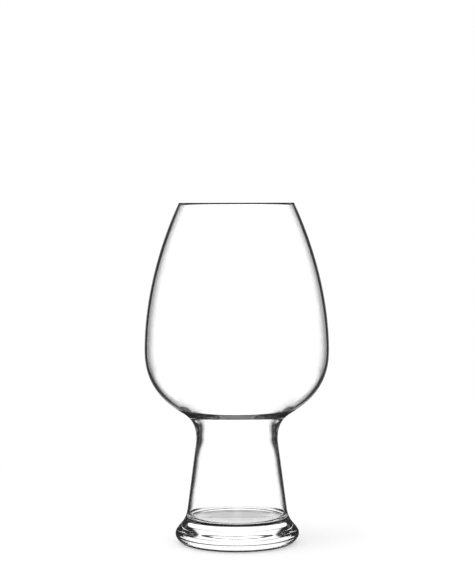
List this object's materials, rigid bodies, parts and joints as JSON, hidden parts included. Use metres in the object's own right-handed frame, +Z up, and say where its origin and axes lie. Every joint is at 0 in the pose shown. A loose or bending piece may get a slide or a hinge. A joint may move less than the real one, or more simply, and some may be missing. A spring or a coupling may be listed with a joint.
{
  "type": "wheat beer glass",
  "caption": "Clear wheat beer glass: tall rounded bowl drawing in to the rim, thick neck, hollow tapered stem and solid round foot.",
  "frame": {"origin": "centre of the standing ring, on the table plane", "axes": "+Z up along the axis of the glass; the glass is round, so +X and +Y are any two square directions across it"},
  "size_m": [0.1008, 0.1008, 0.186],
  "materials": {
    "clear_glass": "fire-polished, clear and colourless"
  },
  "bodies": {
    "root": {"bowl": "clear_glass", "stem": "clear_glass", "foot": "clear_glass"}
  },
  "joints": []
}
